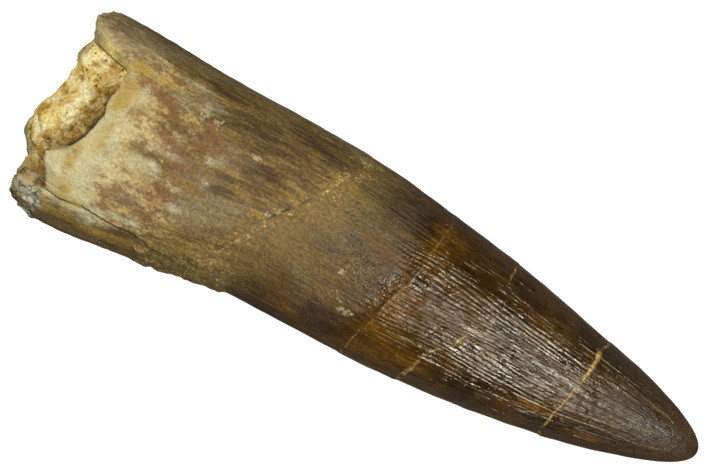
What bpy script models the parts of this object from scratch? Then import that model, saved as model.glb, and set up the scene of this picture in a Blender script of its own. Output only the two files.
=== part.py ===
"""A fossil plesiosaur tooth, 52 mm long, lying on the inner side of its bend.

The tooth is one grown piece: a ridged crown and the stump of its root, broken off ragged, with the
pulp hollow open at the break. A plug of hardened sandy sediment fills the hollow.
The tooth lies along X, root at -X and tip at +X, and rests on a flat under the root and another
under the tip. The origin is on the resting surface, under the middle of the tooth.
"""

import bmesh
import bpy
import numpy as np

MILLIMETRE = 0.001

# Driving dimensions in millimetres. A station is a distance from the root's end towards the tip.
LENGTH = 52.0
NOSE_START = 45.0
SECTIONS = np.array([
    # station, middle y, half width, underside z, crest z
    (0.0, 0.05, 7.55, -0.20, 12.00),
    (5.0, -0.03, 7.67, -0.20, 12.30),
    (10.0, 0.12, 7.26, 0.05, 12.25),
    (18.0, 0.72, 6.57, 0.75, 12.15),
    (24.0, 0.66, 6.44, 1.15, 11.90),
    (30.0, 0.34, 5.93, 1.15, 11.15),
    (36.0, 0.17, 5.20, 0.80, 9.80),
    (42.0, 0.00, 4.08, 0.25, 7.65),
    (47.0, 0.03, 2.97, -0.27, 5.27),
    (52.0, 0.00, 2.30, -0.40, 3.90),
])
FULLNESS = 0.02

# The ragged end of the root: angle around the tooth in degrees, from +Y over the top, and station.
BROKEN_EDGE = np.array([
    (0, 2.2), (12, 1.9), (20, 1.5), (27, 1.3), (38, 1.6), (43, 3.0), (47, 4.5), (55, 5.0),
    (66, 4.95), (75, 4.72),
    (82, 4.94), (90, 4.75), (97, 4.55), (108, 3.8), (115, 2.6), (126, 3.2), (137, 3.95),
    (140, 1.4), (150, 1.6), (158, 1.9), (168, 2.3), (178, 2.6), (190, 2.5), (200, 2.2),
    (217, 1.6), (225, 1.2), (236, 1.5), (241, 1.1), (247, 0.4), (253, 0.2), (262, 0.5),
    (270, 0.9), (276, 1.5), (286, 1.5), (292, 1.8), (300, 1.05), (315, 1.6), (335, 1.5), (348, 2.1),
])
WALL = 1.5
WALL_UNDERCUT = 0.4
FLAKED_ARC = (138.0, 205.0)
FLAKED_ARC_FADE = 2.0
FLAKED_DEPTH = 0.25
FLAKED_REACH = 4.0
FLAKED_LEDGE = 0.6

# Ridges of the crown: as many around as there are pairs of columns in the mesh.
RIDGES = 80
RIDGE_HEIGHT = 0.16
RIDGE_RISE = (15.0, 29.0)
RIDGE_ENDS = (36.0, 46.0)
RIDGE_FADE = 5.0

# Rough crust on the lower edge, at the foot of the crown.
CRUST_STATIONS = (11.0, 17.5)
CRUST_ARC = (134.0, 176.0)
CRUST_FADE = 1.0
CRUST_ARC_FADE = 8.0
CRUST_HEIGHT = 0.21
CRUST_SWELL = 0.14
CRUST_LUMP = 1.9

# The pulp hollow and the plug of sediment in it.
HOLLOW_END = 13.0
HOLLOW_BLUNTNESS = 4
GAP = 0.35
SEAT_BELOW_EDGE = 1.5
SEAT_TURN = (-0.4, 0.4)
PLUG_BULGE = 2.5
PLUG_RIM_CALM = 6
PLUG_LUMP = 3.1
PLUG_LUMP_HEIGHT = 0.32
PLUG_FRONT = np.array([
    # y across the tooth, station of the plug's front at mid height
    (-6.5, 2.4), (-5.0, 2.0), (-3.7, 1.5), (-2.9, 0.6), (-2.3, 0.5), (-1.0, 0.7), (0.0, 1.0),
    (0.8, 1.4), (2.1, 1.6), (2.9, 1.8), (3.7, 1.2), (4.4, 1.2), (5.1, 1.5), (6.5, 2.0),
])

# Rings of the mesh.
RIDGED_COLUMNS = 2 * RIDGES
PLAIN_COLUMNS = RIDGES
TIP_COLUMNS = RIDGES // 2
ROOT_ROWS = 5
ROOT_END = 11.5
CROWN_ROWS = 17
CROWN_END = 45.5
TIP_ROWS = 6
HOLLOW_ROWS = 6
PLUG_FACE_RINGS = (1.0, 0.93, 0.84, 0.72, 0.58, 0.42, 0.22)
PLUG_SIDE_ROWS = 6

GOLDEN_ANGLE = np.pi * (3 - np.sqrt(5))
LUMP_WAVES = 4
LUMP_FINER = 0.3
LUMP_SHIFT = 1.7
SHARP_EDGE = 40.0

TOOTH_COLOUR = (0.17, 0.09, 0.035, 1.0)
TOOTH_ROUGHNESS = 0.38
SEDIMENT_COLOUR = (0.52, 0.38, 0.17, 1.0)
SEDIMENT_ROUGHNESS = 0.9


def ramp(value, start, end):
    """Rises smoothly from 0 at start to 1 at end; falls if end is below start."""
    share = np.clip((value - start) / (end - start), 0.0, 1.0)
    return share * share * (3 - 2 * share)


def within(value, low, high, edge):
    """1 between low and high, fading to 0 over the distance edge outside them."""
    return ramp(value, low - edge, low) * ramp(value, high + edge, high)


def lumps(u, v, wave):
    """Soft lumps from -1 to 1: crossed waves, each turned by the golden angle from the last, a little
    finer and shifted further."""
    total = 0.0
    for turn in range(LUMP_WAVES):
        heading = turn * GOLDEN_ANGLE
        path = u * np.cos(heading) + v * np.sin(heading)
        waves = path * (1 + LUMP_FINER * turn) / wave
        total = total + np.sin(2 * np.pi * waves + LUMP_SHIFT * turn * turn)
    return total / LUMP_WAVES


def around(degrees, table):
    """Reads a table of angle and value at the given angles, joined end to end round the tooth."""
    return np.interp(degrees, table[:, 0], table[:, 1], period=360.0)


def section(station):
    """Middle y, half width, middle z and half height of the tooth at a station.

    A smooth cubic runs through each column of the table of sections, and past NOSE_START a quarter
    ellipse closes the tip.
    """
    stations = SECTIONS[:, 0]
    slopes = np.gradient(SECTIONS[:, 1:], stations, axis=0)
    step = np.clip(np.searchsorted(stations, station, side="right") - 1, 0, len(stations) - 2)
    width = stations[step + 1] - stations[step]
    t = np.clip((station - stations[step]) / width, 0.0, 1.0)
    columns = []
    for column in range(4):
        here = SECTIONS[step, column + 1]
        there = SECTIONS[step + 1, column + 1]
        leave = slopes[step, column] * width
        arrive = slopes[step + 1, column] * width
        bend = t * (1 - t)
        columns.append(
            here + ramp(t, 0, 1) * (there - here) + bend * ((1 - t) * leave - t * arrive)
        )
    middle_y, half_width, underside, crest = columns
    past = np.clip((station - NOSE_START) / (LENGTH - NOSE_START), 0.0, 1.0)
    nose = np.sqrt(1 - past * past)
    return middle_y, half_width * nose, (underside + crest) / 2, (crest - underside) / 2 * nose


def oval(station, angle, outset=0.0, share=1.0):
    """Points on the tooth's oval section, moved out by outset and then scaled about its middle."""
    middle_y, half_width, middle_z, half_height = section(station)
    full = 1 + FULLNESS * np.sin(2 * angle) ** 2
    y = middle_y + share * (half_width * full + outset) * np.cos(angle)
    z = middle_z + share * (half_height * full + outset) * np.sin(angle)
    return np.stack(np.broadcast_arrays(station, y, z), axis=-1)


def ridge_height(station, angle):
    """Sharp ridges and valleys along the crown; each ridge dies out at its own station."""
    turns = angle / (2 * np.pi) * RIDGES
    ridge = np.round(turns)
    crest = 1 - 2 * np.abs(turns - ridge)
    first_end, last_end = RIDGE_ENDS
    own_end = first_end + (last_end - first_end) * np.mod(ridge * GOLDEN_ANGLE, 1.0)
    strength = ramp(station, *RIDGE_RISE) * ramp(station, own_end, own_end - RIDGE_FADE)
    return RIDGE_HEIGHT * crest * strength


def crust_height(station, angle):
    """Lumpy mineral crust on the lower edge of the root."""
    degrees = np.degrees(angle)
    cover = within(station, *CRUST_STATIONS, CRUST_FADE) * within(degrees, *CRUST_ARC, CRUST_ARC_FADE)
    half_width = section(station)[1]
    return cover * (CRUST_HEIGHT + CRUST_SWELL * lumps(station, angle * half_width, CRUST_LUMP))


def skin(station, angle):
    """The tooth's outer surface: its oval with ridges, crust and the flaked corner, flat at z = 0."""
    degrees = np.degrees(angle)
    flaked = within(degrees, *FLAKED_ARC, FLAKED_ARC_FADE)
    flaked = flaked * ramp(station, FLAKED_REACH, FLAKED_REACH - FLAKED_LEDGE)
    height = ridge_height(station, angle) + crust_height(station, angle) - FLAKED_DEPTH * flaked
    points = oval(station, angle, height)
    points[..., 2] = np.maximum(points[..., 2], 0.0)
    return points


def edge_station(angle):
    """Where the broken wall of the root ends, around the tooth."""
    return around(np.degrees(angle), BROKEN_EDGE)


def hollow(share_of_depth, angle, start, clearance):
    """Inner wall of the pulp hollow, from its mouth at start to a round end, less a clearance."""
    end = HOLLOW_END - 2 * clearance
    station = start + (end - start) * share_of_depth
    narrowing = np.sqrt(np.clip(1 - (station / end) ** HOLLOW_BLUNTNESS, 0.0, 1.0))
    return oval(station, angle, -WALL - clearance, narrowing)


def plug_face(share, angle):
    """Front of the sediment: a lumpy dome, seated under the wall's edge and standing out at mid height."""
    seat = edge_station(angle) + WALL_UNDERCUT + SEAT_BELOW_EDGE * ramp(np.sin(angle), *SEAT_TURN)
    rim = hollow(0.0, angle, seat, GAP)
    middle = oval(seat, angle, 0.0, 0.0)
    points = middle + share * (rim - middle)
    front = np.interp(points[..., 1], PLUG_FRONT[:, 0], PLUG_FRONT[:, 1])
    roughness = PLUG_LUMP_HEIGHT * lumps(points[..., 1], points[..., 2], PLUG_LUMP)
    front = front + roughness * (1 - share**PLUG_RIM_CALM)
    points[..., 0] = front + (seat - front) * share**PLUG_BULGE
    return points


def angles(columns):
    """Equal steps around the tooth, starting at +Y and going over the top."""
    return np.arange(columns) * 2 * np.pi / columns


def tooth_rings():
    """Rings of points from the floor of the hollow, out over the broken edge, along to the tip."""
    plain = angles(PLAIN_COLUMNS)
    ridged = angles(RIDGED_COLUMNS)
    tip = angles(TIP_COLUMNS)
    edge = edge_station(plain)
    rings = []
    for share in np.sin(np.linspace(np.pi / 2, 0.0, HOLLOW_ROWS + 1))[1:]:
        rings.append(hollow(share, plain, edge + WALL_UNDERCUT, 0.0))
    for share in np.linspace(0.0, 1.0, ROOT_ROWS):
        rings.append(skin(edge + (ROOT_END - edge) * share, plain))
    for station in np.linspace(ROOT_END + 1.0, CROWN_END, CROWN_ROWS):
        rings.append(skin(np.full(RIDGED_COLUMNS, station), ridged))
    reach = LENGTH - NOSE_START
    swing = np.linspace(np.arcsin((CROWN_END - NOSE_START) / reach), np.pi / 2, TIP_ROWS + 2)[1:-1]
    rings.append(skin(np.full(PLAIN_COLUMNS, NOSE_START + reach * np.sin(swing[0])), plain))
    for turn in swing[1:]:
        rings.append(skin(np.full(TIP_COLUMNS, NOSE_START + reach * np.sin(turn)), tip))
    return rings


def plug_rings():
    """Rings of points from the middle of the plug's front, out to its rim and back to its inner end."""
    plain = angles(PLAIN_COLUMNS)
    rings = [plug_face(share, plain) for share in reversed(PLUG_FACE_RINGS)]
    seat = rings[-1][:, 0]
    for share in np.sin(np.linspace(0.0, np.pi / 2, PLUG_SIDE_ROWS + 1))[1:-1]:
        rings.append(hollow(share, plain, seat, GAP))
    return rings


def join(bm, first, second):
    """Skins two closed rings of vertices; one may have twice as many as the other."""
    if len(second) > len(first):
        fan = [(second[2 * i - 1], second[2 * i], second[(2 * i + 1) % len(second)], i)
               for i in range(len(first))]
        for before, here, after, i in fan:
            bm.faces.new((first[i], here, before))
            bm.faces.new((first[i], after, here))
            bm.faces.new((first[i], first[(i + 1) % len(first)], after))
        return
    if len(first) > len(second):
        fan = [(first[2 * i - 1], first[2 * i], first[(2 * i + 1) % len(first)], i)
               for i in range(len(second))]
        for before, here, after, i in fan:
            bm.faces.new((second[i], before, here))
            bm.faces.new((second[i], here, after))
            bm.faces.new((second[i], after, second[(i + 1) % len(second)]))
        return
    for i in range(len(first)):
        j = (i + 1) % len(first)
        bm.faces.new((first[i], first[j], second[j], second[i]))


def close(bm, ring, point):
    """Closes a ring with a fan of triangles about one point."""
    pole = bm.verts.new(point)
    for i in range(len(ring)):
        bm.faces.new((ring[i], ring[(i + 1) % len(ring)], pole))


def solid(name, rings, first_pole, last_pole, colour, roughness):
    """One closed object from rings of points in millimetres and a pole at each end."""
    bm = bmesh.new()
    loops = [[bm.verts.new(point * MILLIMETRE) for point in ring] for ring in rings]
    for first, second in zip(loops, loops[1:]):
        join(bm, first, second)
    close(bm, loops[0], np.asarray(first_pole) * MILLIMETRE)
    close(bm, loops[-1], np.asarray(last_pole) * MILLIMETRE)
    bmesh.ops.triangulate(bm, faces=bm.faces[:], quad_method="FIXED")
    bmesh.ops.recalc_face_normals(bm, faces=bm.faces[:])
    mesh = bpy.data.meshes.new(name)
    bm.to_mesh(mesh)
    bm.free()
    mesh.shade_smooth()
    mesh.set_sharp_from_angle(angle=np.radians(SHARP_EDGE))
    material = bpy.data.materials.new(name)
    material.use_nodes = True
    shader = material.node_tree.nodes["Principled BSDF"]
    shader.inputs["Base Color"].default_value = colour
    shader.inputs["Roughness"].default_value = roughness
    shader.inputs["Metallic"].default_value = 0.0
    mesh.materials.append(material)
    item = bpy.data.objects.new(name, mesh)
    bpy.context.scene.collection.objects.link(item)
    return item


def middle_of(ring):
    """The middle of a ring of points."""
    return ring.mean(axis=0)


def set_on_origin(items):
    """Moves the meshes so that the origin is under the middle of their common box."""
    corners = np.array([vertex.co for item in items for vertex in item.data.vertices])
    low = corners.min(axis=0)
    high = corners.max(axis=0)
    shift = np.array([(low[0] + high[0]) / 2, (low[1] + high[1]) / 2, low[2]])
    for item in items:
        for vertex in item.data.vertices:
            vertex.co = np.array(vertex.co) - shift


def main():
    for item in list(bpy.data.objects):
        bpy.data.objects.remove(item, do_unlink=True)

    rings = tooth_rings()
    floor = middle_of(rings[0])
    tip = oval(np.array(LENGTH), np.array(0.0))
    tooth = solid("tooth", rings, floor, tip, TOOTH_COLOUR, TOOTH_ROUGHNESS)

    rings = plug_rings()
    front = middle_of(rings[0])
    inner_end = hollow(np.array(1.0), np.array(0.0), 0.0, GAP)
    plug = solid(
        "sediment_fill", rings, front, inner_end, SEDIMENT_COLOUR, SEDIMENT_ROUGHNESS
    )
    set_on_origin([tooth, plug])


main()
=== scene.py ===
# %% [markdown]
# # A fossil plesiosaur tooth on a pale surface
#
# A plesiosaur's tooth is a long, slightly bent cone. The crown is enamel with fine ridges from end to
# end, and the root is plain dentine round a deep pulp hollow. In a fossil the enamel has gone brown,
# the root has bleached and stained, and where the root broke off one sees the sand that filled it.
# The tooth could be sculpted by hand, but every part of it follows a rule: the outline along its
# length, the ridges around it, the breaks across it. So each surface here is one formula of two
# numbers, the station along the tooth and the angle around it.

# %% Load the frame
import math

import bpy
import numpy as np
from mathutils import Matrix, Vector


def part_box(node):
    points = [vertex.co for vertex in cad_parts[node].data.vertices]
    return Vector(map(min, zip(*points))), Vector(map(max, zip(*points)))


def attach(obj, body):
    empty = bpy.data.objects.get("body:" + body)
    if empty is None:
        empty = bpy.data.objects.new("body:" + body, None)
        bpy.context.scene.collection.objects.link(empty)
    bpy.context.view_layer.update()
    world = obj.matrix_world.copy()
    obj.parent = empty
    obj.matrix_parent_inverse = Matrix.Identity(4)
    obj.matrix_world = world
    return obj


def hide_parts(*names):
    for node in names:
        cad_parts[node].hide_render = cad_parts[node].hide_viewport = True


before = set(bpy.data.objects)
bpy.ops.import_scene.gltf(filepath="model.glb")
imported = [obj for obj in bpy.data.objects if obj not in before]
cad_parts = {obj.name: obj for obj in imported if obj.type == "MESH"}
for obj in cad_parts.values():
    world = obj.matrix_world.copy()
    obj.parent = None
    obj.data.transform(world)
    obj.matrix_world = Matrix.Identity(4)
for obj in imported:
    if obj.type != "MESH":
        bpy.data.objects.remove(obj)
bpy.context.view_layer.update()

MM = 0.001
tooth_low, tooth_high = (np.array(corner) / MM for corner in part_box("tooth"))
print("tooth in the frame, mm:", np.round(tooth_high - tooth_low, 2))

# %% [markdown]
# ## Tools for surfaces made of numbers
#
# Soft steps and noise do most of the work. Blender's own noise could be called point by point, but
# numpy handles a hundred thousand points at once, so the noise is written out here: random slopes on
# a lattice, blended smoothly. Distances are in millimetres, and only the finished mesh is in metres.

# %% Soft steps
def ramp(value, start, end):
    """Rises smoothly from 0 at start to 1 at end; falls if end is below start."""
    share = np.clip((value - start) / (end - start), 0.0, 1.0)
    return share * share * (3 - 2 * share)


def within(value, low, high, edge):
    """1 between low and high, fading to 0 over the distance edge outside them. An arc or a stretch of
    stations that is named further on is these three numbers."""
    return ramp(value, low - edge, low) * ramp(value, high + edge, high)


# %% Noise
def scatter(cell, seed):
    """A random number from 0 to 1 for each lattice cell: its three whole numbers are multiplied by
    large primes and mixed by shifts."""
    x, y, z = (cell[..., axis].astype(np.uint32) for axis in range(3))
    mixed = x * np.uint32(73856093) ^ y * np.uint32(19349663) ^ z * np.uint32(83492791)
    mixed = mixed ^ np.uint32(seed * 2654435761 % 2**32)
    mixed = (mixed ^ (mixed >> np.uint32(15))) * np.uint32(2246822519)
    mixed = (mixed ^ (mixed >> np.uint32(13))) * np.uint32(3266489917)
    return (mixed ^ (mixed >> np.uint32(16))) / 2.0**32


def swell(points, size, seed=0):
    """Smooth noise, about -1 to 1, with lumps of the given size: each lattice corner has a random
    slope, and a point blends the eight slopes about it with a soft weight."""
    place = points / size
    cell = np.floor(place).astype(np.int64)
    inside = place - cell
    ease = inside**3 * (inside * (inside * 6 - 15) + 10)
    total = np.zeros(place.shape[:-1])
    for corner in np.ndindex(2, 2, 2):
        weight = np.prod(np.where(corner, ease, 1 - ease), axis=-1)
        for axis in range(3):
            slope = 2 * scatter(cell + corner, seed + 101 * axis) - 1
            total += weight * slope * (inside[..., axis] - corner[axis])
    return 1.7 * total


def rough(points, size, octaves=3, seed=0):
    """Noise with finer copies laid over it, each half the size and half the strength of the last."""
    layers = [swell(points, size / 2**n, seed + n) / 2**n for n in range(octaves)]
    return sum(layers)


def pebbles(points, size, seed=0):
    """Cells of the given size round random centres. Gives the distance to the nearest centre and the
    lead that it has over the second nearest, both in cells, and the centre's own random number."""
    place = points / size
    cell = np.floor(place).astype(np.int64)
    nearest = np.full(place.shape[:-1], 9.0)
    second = nearest.copy()
    owner = np.zeros(place.shape[:-1])
    for step in np.ndindex(3, 3, 3):
        other = cell + step - 1
        centre = np.stack([scatter(other, seed + axis) for axis in range(3)], axis=-1)
        distance = np.linalg.norm(place - other - centre, axis=-1)
        owner = np.where(distance < nearest, scatter(other, seed + 7), owner)
        second = np.minimum(second, np.maximum(nearest, distance))
        nearest = np.minimum(nearest, distance)
    return nearest, second - nearest, owner


# %% A closed skin from rings of points
def placed(name, data):
    """A new object of a mesh, a light or a camera, linked to the scene."""
    made = bpy.data.objects.new(name, data)
    bpy.context.scene.collection.objects.link(made)
    return made


def closed_skin(name, rings, poles, marks):
    """Makes a mesh from an array of rings (ring, column, xyz), each ring joined to the next, its last
    column to its first, and its two ends to a pole. marks are named values, one per ring and column,
    stored on the points for the materials to read; a pole takes the mean of its ring."""
    count, columns = rings.shape[:2]
    points = np.concatenate([rings.reshape(-1, 3), poles]) * MM
    row = np.arange(count - 1)[:, None] * columns
    here = np.arange(columns)[None, :]
    after = (here + 1) % columns
    sides = np.stack([row + here, row + after, row + columns + after, row + columns + here], -1)
    first, last = count * columns, count * columns + 1
    end = (count - 1) * columns
    caps = [(first, b, a) for a, b in zip(here[0], after[0])]
    caps += [(end + a, end + b, last) for a, b in zip(here[0], after[0])]
    mesh = bpy.data.meshes.new(name)
    faces = sides.reshape(-1, 4).tolist()
    mesh.from_pydata(points, [], faces + caps)
    for mark, values in marks.items():
        kind = "FLOAT_VECTOR" if values.ndim == 3 else "FLOAT"
        flat = values.reshape(count * columns, -1)
        ends = np.stack([values[0].mean(axis=0), values[-1].mean(axis=0)]).reshape(2, -1)
        layer = mesh.attributes.new(mark, kind, "POINT")
        layer.data.foreach_set(
            "vector" if values.ndim == 3 else "value",
            np.concatenate([flat, ends]).astype(np.float32).ravel(),
        )
    mesh.shade_smooth()
    print(name, "has", 2 * len(faces) + len(caps), "triangles")
    return placed(name, mesh)


# %% [markdown]
# ## The tooth's form
#
# From above the tooth is widest at its root, narrows a little at the neck, and then tapers in one
# long curve to a blunt point. From the side it bends down, so it rests on its root and its tip. Ten
# oval sections are enough to say this. A cubic through each column of the table fills in the rest.

# %% Sections
LENGTH = 52.0
NOSE_START = 45.0
SECTIONS = np.array([
    # station, middle y, half width, underside z, crest z
    (0.0, 0.05, 7.55, -0.20, 12.00),
    (5.0, -0.03, 7.67, -0.20, 12.30),
    (10.0, 0.12, 7.26, 0.05, 12.25),
    (18.0, 0.72, 6.57, 0.75, 12.15),
    (24.0, 0.66, 6.44, 1.15, 11.90),
    (30.0, 0.34, 5.93, 1.15, 11.15),
    (36.0, 0.17, 5.20, 0.80, 9.80),
    (42.0, 0.00, 4.08, 0.25, 7.65),
    (47.0, 0.03, 2.97, -0.27, 5.27),
    (52.0, 0.00, 2.30, -0.40, 3.90),
])
FULLNESS = 0.02


def section(station):
    """Middle y, half width, middle z and half height at a station: a cubic through each column, whose
    slope at a table row is the mean slope about it. Past NOSE_START a quarter ellipse closes the tip."""
    stations = SECTIONS[:, 0]
    slopes = np.gradient(SECTIONS[:, 1:], stations, axis=0)
    step = np.clip(np.searchsorted(stations, station, side="right") - 1, 0, len(stations) - 2)
    width = (stations[step + 1] - stations[step])[..., None]
    t = np.clip((station - stations[step])[..., None] / width, 0.0, 1.0)
    here, there = SECTIONS[step, 1:], SECTIONS[step + 1, 1:]
    bend = (1 - t) * slopes[step] * width - t * slopes[step + 1] * width
    values = here + t * t * (3 - 2 * t) * (there - here) + t * (1 - t) * bend
    middle_y, half_width, underside, crest = np.moveaxis(values, -1, 0)
    past = np.clip((station - NOSE_START) / (LENGTH - NOSE_START), 0.0, 1.0)
    nose = np.sqrt(1 - past * past)
    return middle_y, half_width * nose, (underside + crest) / 2, (crest - underside) / 2 * nose


def oval(station, angle, outset=0.0, share=1.0):
    """Points on the oval section, a little fuller at its diagonals, moved out by outset and then
    scaled about its middle."""
    middle_y, half_width, middle_z, half_height = section(station)
    full = 1 + FULLNESS * np.sin(2 * angle) ** 2
    y = middle_y + share * (half_width * full + outset) * np.cos(angle)
    z = middle_z + share * (half_height * full + outset) * np.sin(angle)
    return np.stack(np.broadcast_arrays(station, y, z), axis=-1)


# %% Where the frame's origin lies
all_along = np.linspace(0.0, LENGTH, 521)
middle_y, half_width = section(all_along)[:2]
ORIGIN = np.array([LENGTH - tooth_high[0], (middle_y + half_width).max() - tooth_high[1], 0.0])
print("origin of the frame, as station, y, z:", np.round(ORIGIN, 3))

# %% [markdown]
# ## Marks around the tooth
#
# The broken end and the four old breaks run right round the tooth. Each is a list of angle and
# station, with angle 0 at +Y, 90 on top and 270 underneath, joined end to end. What the picture
# shows was measured on top; the lower half is a plain guess that closes each line.

# %% Lines around the tooth
BROKEN_EDGE = np.array([
    # degrees, station
    (0, 2.2), (12, 1.9), (20, 1.5), (27, 1.3), (38, 1.6), (43, 3.0), (47, 4.5), (55, 5.0), (66, 4.95),
    (75, 4.72), (82, 4.94), (90, 4.75), (97, 4.55), (108, 3.8), (115, 2.6), (126, 3.2), (137, 3.95),
    (140, 1.4), (150, 1.6), (158, 1.9), (168, 2.3), (178, 2.6), (190, 2.5), (200, 2.2), (217, 1.6),
    (225, 1.2), (236, 1.5), (241, 1.1), (247, 0.4), (253, 0.2), (262, 0.5), (270, 0.9), (276, 1.5),
    (286, 1.5), (292, 1.8), (300, 1.05), (315, 1.6), (335, 1.5), (348, 2.1),
])
BREAKS = {
    # its small step, and its line: degrees, station, share of gold filler, of dark gap, and width
    "past_neck": (-0.03, np.array([
        (25, 22.7, 0.5, 0.0, 0.10), (49, 21.5, 0.6, 0.0, 0.12), (62, 21.0, 0.7, 0.1, 0.12),
        (69, 20.4, 0.4, 0.2, 0.09), (80, 19.65, 0.1, 0.8, 0.07), (92, 18.5, 0.0, 1.0, 0.08),
        (100, 17.95, 0.4, 0.4, 0.10), (112, 17.35, 0.5, 0.2, 0.10), (125, 16.5, 0.6, 0.1, 0.09),
        (146, 15.6, 0.6, 0.0, 0.09), (180, 14.6, 0.3, 0.5, 0.08), (230, 15.6, 0.2, 0.7, 0.08),
        (290, 19.0, 0.2, 0.7, 0.08), (340, 22.3, 0.3, 0.4, 0.08),
    ])),
    "past_low": (0.05, np.array([
        (31, 29.5, 0.3, 0.0, 0.09), (44, 29.4, 0.2, 0.2, 0.08), (60, 29.2, 0.4, 0.2, 0.08),
        (66, 29.0, 0.3, 0.4, 0.06), (87, 28.55, 0.1, 0.6, 0.06), (110, 27.8, 0.0, 0.7, 0.06),
        (124, 27.45, 0.1, 0.5, 0.06), (142, 27.2, 0.5, 0.2, 0.07), (159, 27.0, 0.7, 0.0, 0.12),
        (200, 26.8, 0.3, 0.5, 0.08), (260, 27.6, 0.1, 0.8, 0.08), (320, 29.2, 0.2, 0.6, 0.08),
    ])),
    "past_middle": (-0.06, np.array([
        (16, 34.9, 0.1, 0.4, 0.08), (29, 34.8, 0.9, 0.0, 0.12), (38, 34.76, 0.8, 0.0, 0.11),
        (46, 34.8, 0.1, 0.4, 0.07), (59, 35.2, 0.0, 0.6, 0.07), (70, 35.3, 0.3, 0.4, 0.08),
        (77, 34.9, 0.2, 0.4, 0.08), (87, 34.4, 0.2, 0.2, 0.08), (98, 33.9, 0.4, 0.0, 0.15),
        (106, 33.6, 0.9, 0.0, 0.26), (112, 33.1, 0.4, 0.0, 0.15), (118, 32.6, 0.5, 0.2, 0.12),
        (125, 32.1, 0.8, 0.0, 0.16), (140, 31.75, 0.9, 0.1, 0.22), (152, 31.4, 0.9, 0.0, 0.26),
        (190, 31.0, 0.4, 0.3, 0.12), (240, 32.3, 0.2, 0.6, 0.08), (300, 34.6, 0.4, 0.3, 0.10),
    ])),
    "past_tip": (0.06, np.array([
        (0, 43.2, 0.6, 0.1, 0.14), (35, 42.85, 0.8, 0.0, 0.16), (51, 42.7, 0.9, 0.0, 0.24),
        (64, 42.7, 0.9, 0.0, 0.24), (81, 42.5, 0.8, 0.1, 0.17), (94, 42.3, 0.7, 0.1, 0.14),
        (112, 42.1, 0.7, 0.0, 0.14), (129, 41.7, 0.7, 0.0, 0.15), (150, 41.6, 0.6, 0.1, 0.14),
        (190, 41.8, 0.5, 0.3, 0.12), (240, 42.3, 0.4, 0.4, 0.10), (300, 43.0, 0.6, 0.2, 0.12),
    ])),
}


def around(angle, table, column=1):
    """Reads a column of a table of degrees at the given angles, joined end to end round the tooth."""
    return np.interp(np.degrees(angle), table[:, 0], table[:, column], period=360.0)


BAR_RADIUS = 6.5
BREAK_WAVE, EDGE_WAVE = 1.4, 0.9
RAGGEDNESS = 0.12


def unrolled(station, angle, radius=BAR_RADIUS):
    """The place of a point on a plain round bar, which gives noise no seam and no pinch at the tip."""
    return np.stack(
        np.broadcast_arrays(station, radius * np.cos(angle), radius * np.sin(angle)), axis=-1
    )


def ragged_line(angle, table, wave, seed):
    """The station of a line round the tooth, which wanders by noise with waves of a given length."""
    return around(angle, table) + RAGGEDNESS * rough(unrolled(0 * angle, angle), wave, 3, seed)


def past_line(station, angle, table, seed):
    """Signed distance past a ragged line round the tooth. A slanting line is nearer than its distance
    along the tooth, by the slope's cosine."""
    step = 0.02
    slope = (around(angle + step, table) - around(angle - step, table)) / (2 * step * BAR_RADIUS)
    return (station - ragged_line(angle, table, BREAK_WAVE, seed)) / np.sqrt(1 + slope**2)


# %% [markdown]
# ## The grid of the tooth
#
# The crown has over a hundred ridges, a third of a millimetre apart, so the grid has five columns to
# each ridge, one of them in the groove. The columns sway, and the ridges sway with them. The rows
# start along the ragged edge, straighten out by the neck, and crowd together round the nose so that
# the tip stays round. Further rows turn in over the broken wall and down the hollow, which closes
# the skin.

# %% Rows and columns
RIDGES = 112
COLUMNS_PER_RIDGE = 5
COLUMNS = COLUMNS_PER_RIDGE * RIDGES
ROOT_END = 12.0
EDGE_LOWEST = 0.25
ROOT_ROWS, CROWN_ROWS, NOSE_ROWS = 46, 106, 17
SWAYS = (
    # ridges that it moves, its size, the share of the station that it is read at, its seed
    (1.5, 2.8, 0.3, 11), (0.4, 1.0, 0.2, 15),
)
SWAY_STARTS = (11.0, 16.0)

angle = np.arange(COLUMNS) * 2 * np.pi / COLUMNS
edge = np.maximum(ragged_line(angle, BROKEN_EDGE, EDGE_WAVE, 3), EDGE_LOWEST)
root_share = np.linspace(0.0, 1.0, ROOT_ROWS)[:, None]
crown = np.linspace(ROOT_END, NOSE_START, CROWN_ROWS + 1)[1:, None]
swing = np.linspace(0.0, np.pi / 2, NOSE_ROWS + 2)[1:-1, None]
station = np.concatenate([
    edge + (ROOT_END - edge) * root_share,
    np.broadcast_to(crown, (CROWN_ROWS, COLUMNS)),
    np.broadcast_to(NOSE_START + (LENGTH - NOSE_START) * np.sin(swing), (NOSE_ROWS, COLUMNS)),
])
turns = angle / (2 * np.pi) * RIDGES
sway = ramp(station, *SWAY_STARTS) * sum(
    moved * swell(unrolled(station * read_at, angle), size, seed)
    for moved, size, read_at, seed in SWAYS
)
angle = angle + sway * 2 * np.pi / RIDGES
bar = unrolled(station, angle)
degrees = np.mod(np.degrees(angle), 360.0)
print("skin grid:", station.shape)


def roughened(along, size, octaves, seed):
    """Noise on the tooth's skin, stretched lengthwise where along is below 1."""
    return rough(bar * (along, 1, 1), size, octaves, seed)


# %% [markdown]
# ## Relief of the enamel
#
# The ridges are low and round-topped with narrow grooves between them. They swell and thin like worn
# strings of beads, and end one after the other on the way to the tip. On the upper middle of the
# crown they are rubbed almost flat. The pieces on the two sides of an old break never meet quite
# level, which shows as a tiny step.

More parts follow.
